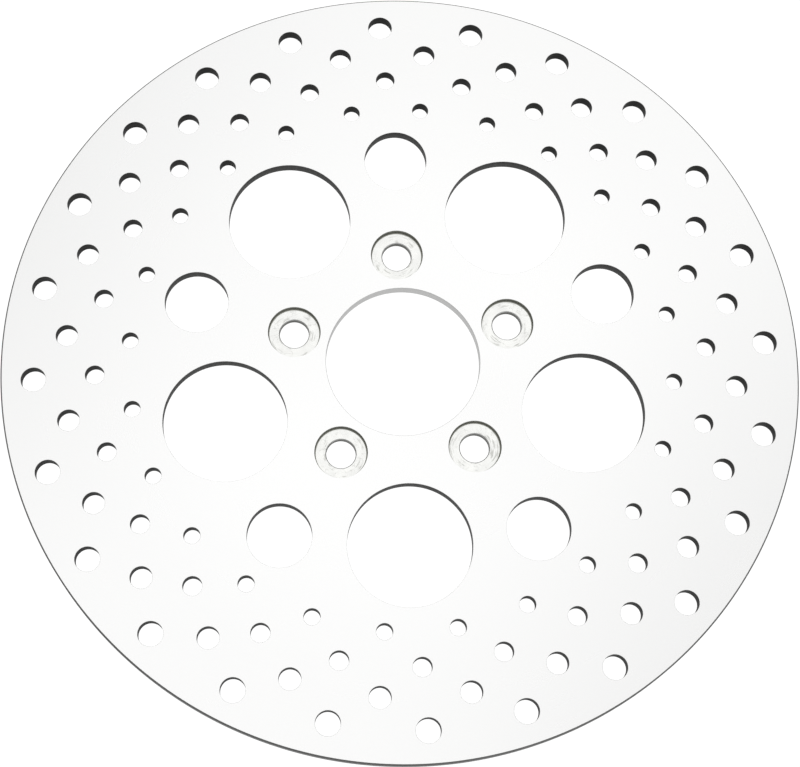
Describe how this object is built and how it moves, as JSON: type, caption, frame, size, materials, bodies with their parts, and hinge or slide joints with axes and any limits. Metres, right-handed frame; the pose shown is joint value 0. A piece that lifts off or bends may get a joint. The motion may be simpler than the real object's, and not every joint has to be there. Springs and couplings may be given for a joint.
{
  "type": "drilled motorcycle brake disc",
  "caption": "Flat one-piece motorcycle brake disc with drilled braking band, round lightening windows, recessed bolt holes and a centre bore.",
  "frame": {"origin": "centre of the hub-side face, where the disc's axis meets it", "axes": "+Z along the disc's axis to the outer side, which has the bolt recesses; +Y through the middle of one of the small windows; +X completes a right-handed frame"},
  "size_m": [0.2922, 0.2922, 0.0051],
  "materials": {
    "ground_steel": "circular ground, bright"
  },
  "bodies": {
    "root": {"brake_disc": "ground_steel"}
  },
  "joints": []
}
